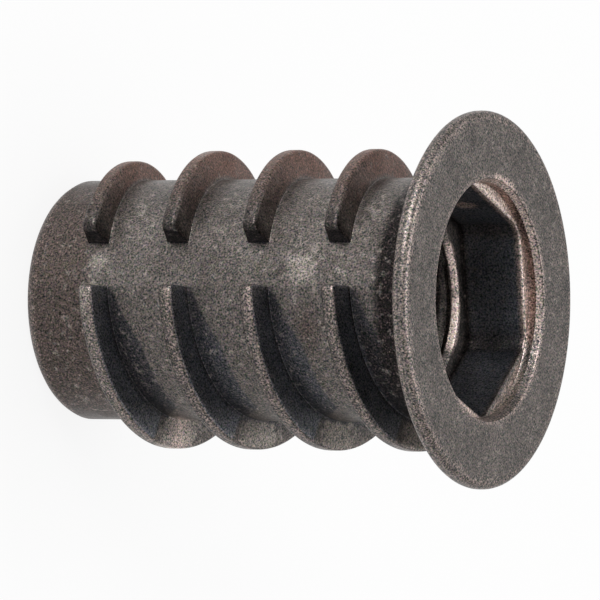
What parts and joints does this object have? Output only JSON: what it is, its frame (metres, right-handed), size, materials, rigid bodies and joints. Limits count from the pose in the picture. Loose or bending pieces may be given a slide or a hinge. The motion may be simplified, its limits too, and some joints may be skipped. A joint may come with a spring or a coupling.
{
  "type": "threaded insert",
  "caption": "Flanged threaded insert for wood: a cast sleeve with a coarse interrupted outer thread, a hexagon drive socket in the flange and a machine-screw thread through its bore.",
  "frame": {"origin": "centre of the nose end, on the axis", "axes": "+Z along the axis from the nose end to the flange; +X towards one casting seam"},
  "size_m": [0.0148, 0.0148, 0.0185],
  "materials": {
    "cast_metal": "dark as-cast metal, grainy satin"
  },
  "bodies": {
    "root": {"insert": "cast_metal"}
  },
  "joints": []
}
